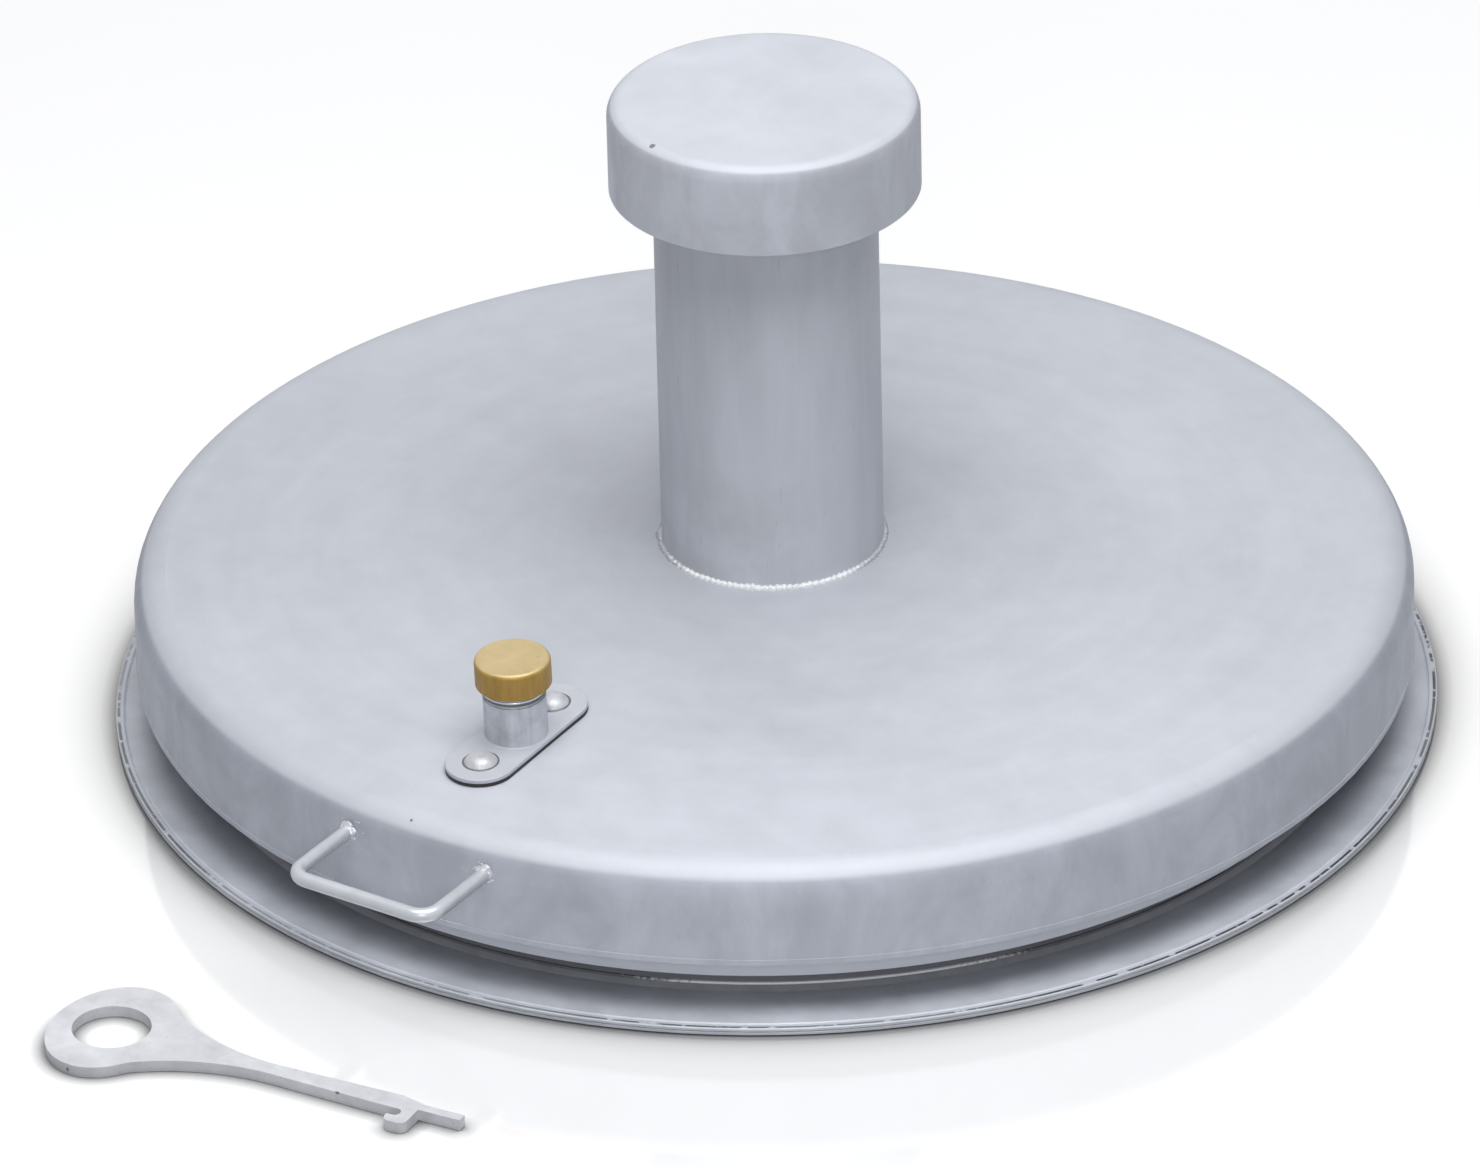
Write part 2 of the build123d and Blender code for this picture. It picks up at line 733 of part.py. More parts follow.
with BuildPart() as key:
    with BuildSketch(key_plane) as outline:
        with BuildLine():
            flare = CenterArc(
                (key_neck, neck_half + flare_radius), flare_radius, 270 - flare_sweep, flare_sweep
            )
            upper = Line(flare @ 1, (bit_start, shank_half))
            shoulder = Line(upper @ 1, (bit_end, tip_half))
            end = Polyline(
                shoulder @ 1,
                (key_length, tip_half),
                (key_length, -tip_half),
                (bit_end, -tip_half),
                (bit_start, -shank_half),
                (key_neck, -neck_half),
            )
            lower = CenterArc((key_neck, -neck_half - flare_radius), flare_radius, 90, flare_sweep)
            Polyline(lower @ 1, (0, 0), flare @ 0)
        make_face()
        Ellipse(key_bow_length / 2, key_bow_width / 2)
        bow_corners = outline.vertices().filter_by_position(Axis.X, key_bow_length / 4, key_bow_length / 2)
        fillet(bow_corners, key_flare_blend)
        with Locations((bit_start, 0)):
            Rectangle(key_bit_width, key_bit_drop, align=(Align.MIN, Align.MAX))
        with Locations((bit_start + key_slot_depth, -key_slot_drop)):
            SlotOverall(
                4 * key_slot_depth, key_slot, align=(Align.MAX, Align.MAX), mode=Mode.SUBTRACT
            )
        foot = outline.vertices().filter_by_position(Axis.X, key_neck, key_length).group_by(Axis.Y)[0]
        fillet(foot, key_foot_radius)
        Circle(key_eye_radius, mode=Mode.SUBTRACT)
    extrude(amount=key_thickness)
save(key, "key")
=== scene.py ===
import json
import math
import random

import bmesh
import bpy
from mathutils import Matrix, Vector
from mathutils import noise as field


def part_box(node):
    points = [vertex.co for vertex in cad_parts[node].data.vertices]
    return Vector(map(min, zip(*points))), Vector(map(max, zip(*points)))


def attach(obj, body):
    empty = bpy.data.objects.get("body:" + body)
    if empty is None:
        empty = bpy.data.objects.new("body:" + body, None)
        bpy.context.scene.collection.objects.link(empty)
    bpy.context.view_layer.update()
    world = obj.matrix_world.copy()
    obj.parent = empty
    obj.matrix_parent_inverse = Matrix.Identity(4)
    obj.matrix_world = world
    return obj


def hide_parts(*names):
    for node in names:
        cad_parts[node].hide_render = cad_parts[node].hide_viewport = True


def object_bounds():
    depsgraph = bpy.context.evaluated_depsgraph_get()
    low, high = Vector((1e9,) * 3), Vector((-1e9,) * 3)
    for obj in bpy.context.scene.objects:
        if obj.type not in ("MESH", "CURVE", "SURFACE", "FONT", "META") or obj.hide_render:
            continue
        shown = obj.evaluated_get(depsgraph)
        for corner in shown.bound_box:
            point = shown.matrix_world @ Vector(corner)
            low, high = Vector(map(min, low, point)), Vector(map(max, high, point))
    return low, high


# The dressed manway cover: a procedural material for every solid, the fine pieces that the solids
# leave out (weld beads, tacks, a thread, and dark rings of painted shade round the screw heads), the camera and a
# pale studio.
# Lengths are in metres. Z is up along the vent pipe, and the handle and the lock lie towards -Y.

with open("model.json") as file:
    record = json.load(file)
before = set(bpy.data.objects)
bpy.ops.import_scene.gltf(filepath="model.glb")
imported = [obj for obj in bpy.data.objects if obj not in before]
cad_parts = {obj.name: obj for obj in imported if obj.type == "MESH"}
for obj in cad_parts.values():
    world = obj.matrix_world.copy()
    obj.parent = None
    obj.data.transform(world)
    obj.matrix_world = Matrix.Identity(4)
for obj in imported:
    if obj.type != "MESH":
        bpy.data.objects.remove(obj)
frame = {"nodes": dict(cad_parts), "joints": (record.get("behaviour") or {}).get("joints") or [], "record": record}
cad_low, cad_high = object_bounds()
nodes = frame["nodes"]
joints = {joint["name"]: joint for joint in frame["joints"]}

MM = 0.001
FULL_TURN = 2 * math.pi
QUARTER_TURN = 0.5 * math.pi


# ---------------------------------------------------------------- camera

AZIMUTH = math.radians(33.724)  # from -Y towards +X
ELEVATION = math.radians(29.333)
ROLL = math.radians(-1.362)
DISTANCE = 6.2377
TARGET = Vector((-0.01481, -0.00934, 0.06204))
LENS = 294.56  # in millimetres, as the sensor
SENSOR_WIDTH = 36
CLIP_END = 100

forward = Vector(
    (
        -math.sin(AZIMUTH) * math.cos(ELEVATION),
        math.cos(AZIMUTH) * math.cos(ELEVATION),
        -math.sin(ELEVATION),
    )
)
level_right = Vector((math.cos(AZIMUTH), math.sin(AZIMUTH), 0))
level_up = level_right.cross(forward)
camera_right = math.cos(ROLL) * level_right + math.sin(ROLL) * level_up
camera_up = -math.sin(ROLL) * level_right + math.cos(ROLL) * level_up
camera_turn = Matrix((camera_right, camera_up, -forward)).transposed().to_4x4()

camera_data = bpy.data.cameras.new("camera")
camera_data.sensor_width = SENSOR_WIDTH
camera_data.lens = LENS
camera_data.clip_end = CLIP_END
camera = bpy.data.objects.new("camera", camera_data)
bpy.context.scene.collection.objects.link(camera)
camera.matrix_world = Matrix.Translation(TARGET - forward * DISTANCE) @ camera_turn
bpy.context.scene.camera = camera
bpy.context.scene.view_settings.view_transform = "Standard"


# ---------------------------------------------------------------- node trees


def rgba(red, green, blue):
    return (red, green, blue, 1.0)


def grey(level):
    return rgba(level, level, level)


def shaded(colour, factor):
    return tuple(factor * part for part in colour[:3]) + (1.0,)


class Nodes:
    """Short names for building the node tree of a material or of the world."""

    def __init__(self, owner, output="ShaderNodeOutputMaterial"):
        owner.use_nodes = True
        self.owner = owner
        self.tree = owner.node_tree
        self.tree.nodes.clear()
        self.output = self.add(output)
        self.texture = self.add("ShaderNodeTexCoord").outputs
        self.place = self.texture["Object"]

    def feed(self, socket, value):
        if isinstance(value, bpy.types.NodeSocket):
            self.tree.links.new(value, socket)
        else:
            socket.default_value = value

    def add(self, kind, inputs=None, **settings):
        node = self.tree.nodes.new(kind)
        for key, value in settings.items():
            setattr(node, key, value)
        for key, value in (inputs or {}).items():
            self.feed(node.inputs[key], value)
        return node

    def noise(self, vector, scale, detail=3.0, roughness=0.5, distortion=0.0):
        inputs = {
            "Vector": vector,
            "Scale": scale,
            "Detail": detail,
            "Roughness": roughness,
            "Distortion": distortion,
        }
        return self.add("ShaderNodeTexNoise", inputs).outputs["Fac"]

    def stretched(self, scale):
        """Object coordinates with each axis scaled, for streaks."""
        inputs = {"Vector": self.place, "Scale": scale}
        return self.add("ShaderNodeMapping", inputs).outputs["Vector"]

    def spread(self, value, low, high, to_low=0.0, to_high=1.0):
        """Map the range low to high onto to_low to to_high, and hold it there beyond."""
        inputs = {"Value": value, 1: low, 2: high, 3: to_low, 4: to_high}
        return self.add("ShaderNodeMapRange", inputs).outputs["Result"]

    def math(self, operation, a, b=0.0):
        return self.add("ShaderNodeMath", {0: a, 1: b}, operation=operation).outputs["Value"]

    def product(self, *factors):
        result = factors[0]
        for factor in factors[1:]:
            result = self.math("MULTIPLY", result, factor)
        return result

    def inverse(self, factor):
        return self.math("SUBTRACT", 1.0, factor)

    def mix(self, factor, a, b, blend="MIX"):
        inputs = {0: factor, 6: a, 7: b}
        return self.add("ShaderNodeMix", inputs, data_type="RGBA", blend_type=blend).outputs[2]

    def tint(self, factor, a, b):
        """Multiply colour a by colour b where the factor is 1."""
        return self.mix(factor, a, b, blend="MULTIPLY")

    def bump(self, height, distance):
        inputs = {"Height": height, "Distance": distance}
        return self.add("ShaderNodeBump", inputs).outputs["Normal"]

    def vector(self, operation, a, b, output):
        return self.add("ShaderNodeVectorMath", {0: a, 1: b}, operation=operation).outputs[output]

    def parts(self, vector):
        return self.add("ShaderNodeSeparateXYZ", {0: vector}).outputs

    def near(self, centre, radius, soft=0.5):
        """1 inside a small ball round a point, fading out over the soft part of its radius."""
        away = self.vector("DISTANCE", self.place, centre, "Value")
        return self.spread(away, radius * (1 - soft), radius, to_low=1.0, to_high=0.0)

    def radius(self):
        """Distance from the Z axis."""
        flat = self.vector("MULTIPLY", self.place, (1, 1, 0), "Vector")
        return self.vector("LENGTH", flat, (0, 0, 0), "Value")

    def steep(self, low, high):
        """1 on faces whose normal rises by less than low, fading to 0 at high."""
        rise = self.parts(self.texture["Normal"])[2]
        return self.spread(rise, low, high, to_low=1.0, to_high=0.0)

    def polar(self, across, around, up):
        """Coordinates for marks that run round the Z axis, with no seam."""
        east, north, height = self.parts(self.place)
        radius = self.radius()
        some_radius = self.math("MAXIMUM", radius, 1 * MM)
        inputs = {
            0: self.math("ADD", self.product(radius, across), self.product(height, up)),
            1: self.product(self.math("DIVIDE", east, some_radius), around),
            2: self.product(self.math("DIVIDE", north, some_radius), around),
        }
        return self.add("ShaderNodeCombineXYZ", inputs).outputs["Vector"]

    def seen(self):
        """1 for rays from the camera, off gloss and through glass, 0 for rays that only light."""
        path = self.add("ShaderNodeLightPath").outputs
        plain = self.math("MAXIMUM", path["Is Camera Ray"], path["Is Glossy Ray"])
        return self.math("MAXIMUM", plain, path["Is Transmission Ray"])

    def finish(self, shader):
        self.tree.links.new(shader.outputs[0], self.output.inputs["Surface"])
        return self.owner


# ---------------------------------------------------------------- details on a zinc surface
# Each one gives a function that takes the colour so far and returns it with the detail on it.

# How far the normal rises from a wall, 0, to a level face, 1, for the painted shade on walls and on the bend above
# them.
WALL_RISE = (0.58, 0.68)
BEND_FROM = (0.05, 0.45)
BEND_TO = (0.60, 0.72)
BEND_SHADE = rgba(0.78, 0.78, 0.79)
WORN_TONES = (0.89, 1.09)
LINE_TONE = 0.1
SHADE_ZONE_TONE = 0.15


def wall_shade_and_wear(colour):
    """Walls get a painted shade colour with wear mottling of its own, and painted shade darkens the bend above
    them.
    """

    def paint(n, base, tone, fine):
        wear = n.noise(n.stretched((1, 1, 0.6)), 22, detail=5, roughness=0.65, distortion=0.8)
        dark, light = (shaded(colour, factor) for factor in WORN_TONES)
        shaded_wall_wear = n.mix(n.spread(wear, 0.36, 0.64), dark, light)
        base = n.tint(n.steep(*WALL_RISE), base, shaded_wall_wear)
        bend = n.product(n.inverse(n.steep(*BEND_FROM)), n.steep(*BEND_TO))
        return n.tint(bend, base, BEND_SHADE)

    return paint


def painted_light_pool(centre, radius, factor):
    """A wide soft pool of painted light, lighter by a factor at its centre; a factor below 1 makes it painted
    shade.
    """

    def paint(n, base, tone, fine):
        return n.tint(n.near(centre, radius, soft=1.0), base, grey(factor))

    return paint


def stain(colour, centre, radius, amount):
    """A blotchy stain."""

    def paint(n, base, tone, fine):
        blotch = n.spread(n.noise(n.place, 24, detail=3, roughness=0.6), 0.42, 0.62)
        return n.mix(n.product(n.near(centre, radius, soft=0.9), blotch, amount), base, colour)

    return paint


def mark(centre, radius, colour, hollow=0):
    """A small mark with an uneven edge, or a ring where hollow is the share left clear."""

    def paint(n, base, tone, fine):
        reach = n.near(centre, radius)
        if hollow:
            reach = n.math("SUBTRACT", reach, n.near(centre, radius * hollow, soft=0.3))
        uneven = n.math("ADD", reach, n.spread(fine, 0.3, 0.7, to_low=-0.25, to_high=0.25))
        return n.mix(n.spread(uneven, 0.3, 0.8), base, colour)

    return paint


def dirt_line_and_shade(line, dark_from, dark_to):
    """A broken line of dirt at one radius, and painted shade beside the neck, deepest inside dark_from and gone at
    dark_to.
    """

    def paint(n, base, tone, fine):
        away = n.math("ABSOLUTE", n.math("SUBTRACT", n.radius(), line))
        broken = n.spread(n.noise(n.place, 150, detail=2), 0.36, 0.46)
        faint = n.spread(n.noise(n.place, 4, detail=1), 0.4, 0.6, to_low=0.45)
        on_line = n.spread(away, 1.0 * MM, 0.5 * MM)
        base = n.mix(n.product(on_line, broken, faint), base, shaded(tone, LINE_TONE))
        # Painted shade beside the neck, under the lid's skirt.
        shade_zone = n.spread(n.radius(), dark_from, dark_to, to_low=0.38, to_high=0.0)
        return n.mix(shade_zone, base, shaded(tone, SHADE_ZONE_TONE))

    return paint


def painted_shade_foot(low, high, factor):
    """Painted shade: the lowest part is darker."""

    def paint(n, base, tone, fine):
        height = n.parts(n.place)[2]
        fade = n.spread(height, low, high, to_low=1.0, to_high=0.0)
        return n.mix(fade, base, shaded(tone, factor))

    return paint


# ---------------------------------------------------------------- materials

FINE_SCALE = 420
CLOUD_SHARE = 0.55
PATCH_RELIEF = 0.7
SPECK_TONE = 0.55
ROUGH_SPREAD = 0.06


def zinc(
    name,
    tone,
    rough,
    contrast=0.10,
    cloud=5.0,
    mottle=46.0,
    grain=(1, 1, 1),
    rings=0.0,
    speck=0.25,
    bump=0.10 * MM,
    metallic=0.15,
    specular=0.4,
    details=(),
):
    """Dull galvanised steel: soft clouds, fine mottling, specks and a slightly uneven skin."""
    n = Nodes(bpy.data.materials.new(name))
    streaked = n.stretched(grain)
    clouds = n.noise(n.place, cloud, detail=4, roughness=0.55, distortion=0.6)
    patches = n.noise(streaked, mottle, detail=5, roughness=0.62, distortion=0.3)
    fine = n.noise(streaked, FINE_SCALE, detail=3, roughness=0.6)
    shade = n.math("ADD", n.product(clouds, CLOUD_SHARE), n.product(patches, 1 - CLOUD_SHARE))
    if rings:
        arcs = n.noise(n.polar(across=60, around=1.2, up=60), 1.0, detail=4, roughness=0.6)
        shade = n.math("ADD", shade, n.product(n.math("SUBTRACT", arcs, 0.5), rings))
    dark, light = shaded(tone, 1 - contrast), shaded(tone, 1 + contrast)
    base = n.mix(n.spread(shade, 0.34, 0.66), dark, light)
    specks = n.product(n.spread(fine, 0.66, 0.78), speck)
    base = n.mix(specks, base, shaded(tone, SPECK_TONE))
    for paint in details:
        base = paint(n, base, tone, fine)
    height = n.math("ADD", n.product(patches, PATCH_RELIEF), n.product(fine, 1 - PATCH_RELIEF))
    uneven = n.spread(patches, 0.3, 0.7, to_low=rough - ROUGH_SPREAD, to_high=rough + ROUGH_SPREAD)
    inputs = {
        "Base Color": base,
        "Metallic": metallic,
        "Specular IOR Level": specular,
        "Roughness": uneven,
        "Normal": n.bump(height, bump),
    }
    return n.finish(n.add("ShaderNodeBsdfPrincipled", inputs))


BRASS_FACE_PAINTED_LIGHT = (rgba(0.53, 0.41, 0.205), rgba(0.61, 0.475, 0.25))
BRASS_WALL_PAINTED_SHADE = (rgba(0.36, 0.215, 0.04), rgba(0.45, 0.275, 0.06))
BRASS_PIT = rgba(0.2, 0.13, 0.05)
BRASS_RISE = (0.5, 0.8)


def brass(name):
    """Turned brass with pits: a pale cloudy face and a deeper wall with fine upright streaks, their difference
    partly the brass's own and partly painted light on the face and painted shade on the wall.
    """
    n = Nodes(bpy.data.materials.new(name))
    clouds = n.noise(n.place, 60, detail=4, roughness=0.6, distortion=0.4)
    fine = n.noise(n.place, 900, detail=3, roughness=0.6)
    pits = n.spread(n.noise(n.place, 230, detail=2), 0.70, 0.76)
    streaks = n.noise(n.stretched((1, 1, 0.15)), 260, detail=3, roughness=0.6)
    face = n.mix(n.spread(clouds, 0.35, 0.65), *BRASS_FACE_PAINTED_LIGHT)
    wall = n.mix(n.spread(streaks, 0.35, 0.65), *BRASS_WALL_PAINTED_SHADE)
    # Painted light on the face and painted shade on the wall, by how far the normal rises.
    base = n.mix(n.steep(*BRASS_RISE), face, wall)
    base = n.mix(n.product(pits, 0.5), base, BRASS_PIT)
    height = n.math("SUBTRACT", n.product(fine, 0.3), pits)
    inputs = {
        "Base Color": base,
        "Metallic": 0.3,
        "Roughness": n.spread(clouds, 0.3, 0.7, to_low=0.40, to_high=0.48),
        "Normal": n.bump(height, 0.08 * MM),
    }
    return n.finish(n.add("ShaderNodeBsdfPrincipled", inputs))


RUBBER = (rgba(0.012, 0.012, 0.013), rgba(0.03, 0.03, 0.032))


def rubber(name):
    """Matt black rubber."""
    n = Nodes(bpy.data.materials.new(name))
    clouds = n.noise(n.place, 40)
    fine = n.noise(n.place, 1500, detail=2)
    inputs = {
        "Base Color": n.mix(clouds, *RUBBER),
        "Roughness": n.spread(clouds, 0.3, 0.7, to_low=0.55, to_high=0.75),
        "Normal": n.bump(fine, 0.08 * MM),
    }
    return n.finish(n.add("ShaderNodeBsdfPrincipled", inputs))


ZINC = rgba(0.56, 0.58, 0.63)
SCRATCH = grey(0.2)
LIT_SIDE = math.radians(29.03)  # the side of the lid that the front lamp lights most
UPRIGHT = (1, 1, 0.3)  # streaks three times as long as wide, up the walls
HEM_LINE = cad_high.x - 1.5 * MM
LID_TOP = 90 * MM


def on_lit_side(radius, height):
    return (radius * math.sin(LIT_SIDE), -radius * math.cos(LIT_SIDE), height)


looks = {
    "zinc_sheet": zinc("zinc_sheet", ZINC, rough=0.6, contrast=0.06, rings=0.25, grain=UPRIGHT),
    "zinc_pipe": zinc(
        "zinc_pipe",
        shaded(ZINC, 1.07),
        rough=0.45,
        contrast=0.12,
        grain=(1, 1, 0.12),
        speck=0.5,
        metallic=0.1,
        specular=0.15,
        details=[stain(rgba(0.40, 0.39, 0.37), (0.0, -0.06, 0.10), 0.085, amount=0.4)],
    ),
    "weld_bead": zinc("weld_bead", rgba(0.56, 0.57, 0.60), rough=0.36, cloud=80, metallic=0.45),
    "zinc_rod": zinc("zinc_rod", rgba(0.55, 0.57, 0.61), rough=0.36, cloud=30, metallic=0.4),
    "brass": brass("brass"),
    "black_rubber": rubber("black_rubber"),
    "zinc_fastener": zinc(
        "zinc_fastener",
        rgba(0.54, 0.55, 0.58),
        rough=0.42,
        contrast=0.16,
        cloud=90,
        mottle=260,
        bump=0.35 * MM,
        metallic=0.3,
    ),
    "lock_steel": zinc("lock_steel", rgba(0.16, 0.16, 0.17), rough=0.42, cloud=40, metallic=0.5),
    "key_steel": zinc(
        "key_steel",
        rgba(0.67, 0.68, 0.71),
        rough=0.42,
        contrast=0.15,
        cloud=30,
        mottle=90,
        speck=0.8,
        details=[
            mark((-0.0932, -0.4961, 0.003), 2.0 * MM, SCRATCH),
            mark((0.0358, -0.4509, 0.006), 2.0 * MM, SCRATCH),
        ],
    ),
}

# Nodes whose finish differs from the rest of their slot.
own_looks = {
    "lid_shell": zinc(
        "lid_sheet",
        shaded(ZINC, 0.97),
        rough=0.6,
        contrast=0.07,
        rings=0.3,
        grain=UPRIGHT,
        details=[
            # Painted shade: the skirt is darker than the top, and the bend above it is darker still.
            wall_shade_and_wear(rgba(0.89, 0.905, 0.94)),
            # Painted light towards the lit front of the lid top.
            painted_light_pool(on_lit_side(0.34, LID_TOP), radius=0.33, factor=1.13),
            # Painted shade on the lid top in front of the vent pipe.
            painted_light_pool(on_lit_side(0.13, LID_TOP), radius=0.20, factor=0.88),
            mark((-0.0058, -0.3205, 0.0818), 1.6 * MM, grey(0.12)),
        ],
    ),
    # Painted light: the inner skirt is made paler than the zinc, standing in for light on its band below the
    # skirt.
    "inner_skirt": zinc("painted_light_sheet", shaded(ZINC, 1.2), rough=0.6, contrast=0.07),
    "frame_neck": zinc(
        "neck_sheet",
        shaded(ZINC, 0.9),
        rough=0.55,
        contrast=0.08,
        # Painted shade on the neck's foot, under the lid's skirt.
        details=[painted_shade_foot(18 * MM, 34 * MM, factor=0.38)],
    ),
    "neck_weld": zinc(
        "weld_sheet", shaded(ZINC, 0.5), rough=0.5, contrast=0.12, cloud=80, mottle=120
    ),
    "base_flange": zinc(
        "flange_sheet",
        shaded(ZINC, 1.06),
        rough=0.45,
        contrast=0.13,
        cloud=9,
        details=[
            # Painted highlight on the front of the flange.
            painted_light_pool((0.205, -0.215, 0.004), radius=0.20, factor=1.08),
            mark((0.217, -0.2225, 0.004), 6.5 * MM, rgba(0.75, 0.76, 0.78), hollow=0.7),
            dirt_line_and_shade(HEM_LINE, dark_from=303 * MM, dark_to=316 * MM),
        ],
    ),
    "vent_hood": zinc(
        "hood_sheet",
        shaded(ZINC, 1.05),
        rough=0.6,
        contrast=0.06,
        cloud=14,
        grain=UPRIGHT,
        details=[
            # Painted shade on the bend above the hood's wall; the wall itself keeps about the top's tone.
            wall_shade_and_wear(rgba(1.0, 1.0, 1.01)),
            mark((-0.0200, -0.0712, 0.3437), 2.2 * MM, SCRATCH),
        ],
    ),
    "lock_tube": zinc(
        "tube_sheet",
        rgba(0.58, 0.60, 0.64),
        rough=0.34,
        contrast=0.24,
        cloud=90,
        mottle=240,
        grain=(1, 1, 0.1),
        metallic=0.4,
    ),
    "lock_plate": zinc("plate_sheet", shaded(ZINC, 0.98), rough=0.5, cloud=20),
}

for entry in frame["record"]["subparts"]:
    mesh = nodes[entry["node"]].data
    mesh.materials.clear()
    mesh.materials.append(own_looks.get(entry["node"], looks[entry["material_slot"]]))


# ---------------------------------------------------------------- mesh tools


def extent(node):
    """A node's lowest and highest corners as vectors."""
    low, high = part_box(node)
    return Vector(low), Vector(high)


def link(name, build, material, smooth=True):
    """Turn a finished bmesh into an object in the scene."""
    mesh = bpy.data.meshes.new(name)
    build.to_mesh(mesh)
    build.free()
    for face in mesh.polygons:
        face.use_smooth = smooth
    mesh.materials.append(material)
    piece = bpy.data.objects.new(name, mesh)
    bpy.context.scene.collection.objects.link(piece)
    return piece


def link_outwards(name, build, material, smooth=True):
    bmesh.ops.recalc_face_normals(build, faces=build.faces)
    return link(name, build, material, smooth)


def angles(count):
    """The angles of one full turn in even steps."""
    return [FULL_TURN * index / count for index in range(count)]


def skin(build, rows, closed=True):
    """Join rows of as many points each into a surface, whose last row may meet its first."""
    verts = [[build.verts.new(point) for point in row] for row in rows]
    pairs = list(zip(verts, verts[1:]))
    if closed:
        pairs.append((verts[-1], verts[0]))
    for here, there in pairs:
        for k in range(len(here) - 1):
            build.faces.new((here[k], there[k], there[k + 1], here[k + 1]))


def lumps(seed, at, scale, amount):
    """A smooth random factor round 1."""
    return 1 + amount * field.noise(Vector(at) * scale + Vector((seed, 0, 0)))


# ---------------------------------------------------------------- weld beads

BEAD_STEPS = 9
BEAD_FLATNESS = 0.6
RIPPLE_DRIFT = 0.7  # how far the ripples run ahead and fall behind, and how often in a turn
RIPPLE_DRIFTS = 5
BEAD_SINK_IN = 0.1 * MM
BEAD_SINK_DOWN = 0.2 * MM


def weld_ring(radius, foot, leg, seed, count, ripple, rough, uneven=1.0):
    """A hand-laid bead in the corner between a tube and the sheet under it."""
    rows = []
    for angle in angles(count):
        out = Vector((math.cos(angle), math.sin(angle), 0))
        drift = RIPPLE_DRIFT * math.sin(RIPPLE_DRIFTS * angle)
        wave = abs(math.sin(angle * ripple / 2 + drift))
        size = leg * lumps(seed, out, scale=9, amount=0.28 * uneven) * (1 - rough * (1 - wave))
        size *= lumps(seed + 7, out, scale=60, amount=0.25 * uneven)
        row = []
        for step in range(BEAD_STEPS + 1):
            turn = QUARTER_TURN * step / BEAD_STEPS
            spot = out * 300 + Vector((0, 0, turn * 2))
            grit = lumps(seed + 3, spot, scale=1, amount=0.10 * uneven)
            across = radius - BEAD_SINK_IN + size * grit * math.cos(turn) ** BEAD_FLATNESS
            up = foot - BEAD_SINK_DOWN + size * grit * math.sin(turn) ** BEAD_FLATNESS
            row.append(out * across + Vector((0, 0, up)))
        rows.append(row)
    build = bmesh.new()
    skin(build, rows)
    return build


pipe_low, pipe_high = extent("vent_pipe")
PIPE_RADIUS = (pipe_high.x - pipe_low.x) / 2
VENT_FOOT = extent("vent_weld")[0].z
vent_bead_with_painted_highlight = link_outwards(
    "vent_weld_bead",
    weld_ring(PIPE_RADIUS, VENT_FOOT, 2.3 * MM, seed=3.1, count=900, ripple=110, rough=0.4),
    zinc(
        "vent_bead_with_painted_highlight",
        rgba(0.48, 0.49, 0.52),
        rough=0.45,
        cloud=80,
        specular=0.2,
        # Painted highlight on the bead's lit front.
        details=[mark(on_lit_side(0.058, VENT_FOOT), 0.07, rgba(0.88, 0.89, 0.9))],
    ),
)
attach(vent_bead_with_painted_highlight, "lid")
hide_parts("vent_weld")

foot_low, foot_high = extent("neck_weld")
NECK_OUTER = foot_high.x - (foot_high.z - foot_low.z)
neck_bead_painted_shade_and_highlight = link_outwards(
    "neck_weld_bead",
    weld_ring(
        NECK_OUTER,
        foot_high.z,
        1.2 * MM,
        seed=8.4,
        count=1800,
        ripple=560,
        rough=0.04,
        uneven=0.12,
    ),
    # Painted shade: the bead is near black all round.
    zinc(
        "neck_bead_painted_shade_and_highlight",
        rgba(0.14, 0.14, 0.15),
        rough=0.4,
        cloud=80,
        # Painted highlight along the bead's front.
        details=[mark((0.188, -0.239, 0.008), 0.12, rgba(0.85, 0.86, 0.88))],
    ),
)
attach(neck_bead_painted_shade_and_highlight, "frame")


# ---------------------------------------------------------------- handle tacks

handle_low, handle_high = extent("handle")
ROD_RADIUS = (handle_high.z - handle_low.z) / 2
HANDLE_Z = (handle_high.z + handle_low.z) / 2
HALF_PITCH = handle_high.x - ROD_RADIUS
SKIRT_RADIUS = extent("lid_shell")[1].x - 0.5 * MM

TACK_SEGMENTS = 48
TACK_STEPS = 7
TACK_SPREAD = 2.1 * MM
TACK_STAND = 2.6 * MM
TACK_BULGE = 0.25
TACK_TAPER = 1.4
TACK_SINK = 0.2 * MM
TACK_FOOT = 0.3 * MM
DROP_SQUASH = 0.7


def on_skirt(x, z, out=0.0):
    """A point on the skirt's front, or a little out from it."""
    return Vector((x, -math.sqrt(SKIRT_RADIUS**2 - x**2) - out, z))


def tack(build, x0, seed):
    """A lumpy collar round the rod where it meets the skirt."""
    rows = []
    for turn in angles(TACK_SEGMENTS):
        around = Vector((math.cos(turn), 0, math.sin(turn)))
        spread = TACK_SPREAD * lumps(seed, around, scale=1.6, amount=0.9)
        spread *= lumps(seed + 4, around, scale=6, amount=0.3)
        stand = TACK_STAND * lumps(seed + 2, around, scale=1.9, amount=0.8)
        row = []
        for step in range(TACK_STEPS + 1):
            rise = step / TACK_STEPS
            bulge = 1 + TACK_BULGE * math.sin(math.pi * rise)
            away = ROD_RADIUS - TACK_SINK + spread * bulge * (1 - rise) ** TACK_TAPER
            x, z = x0 + around.x * away, HANDLE_Z + around.z * away
            row.append(on_skirt(x, z, stand * rise - TACK_FOOT))
        rows.append(row)
    skin(build, rows)


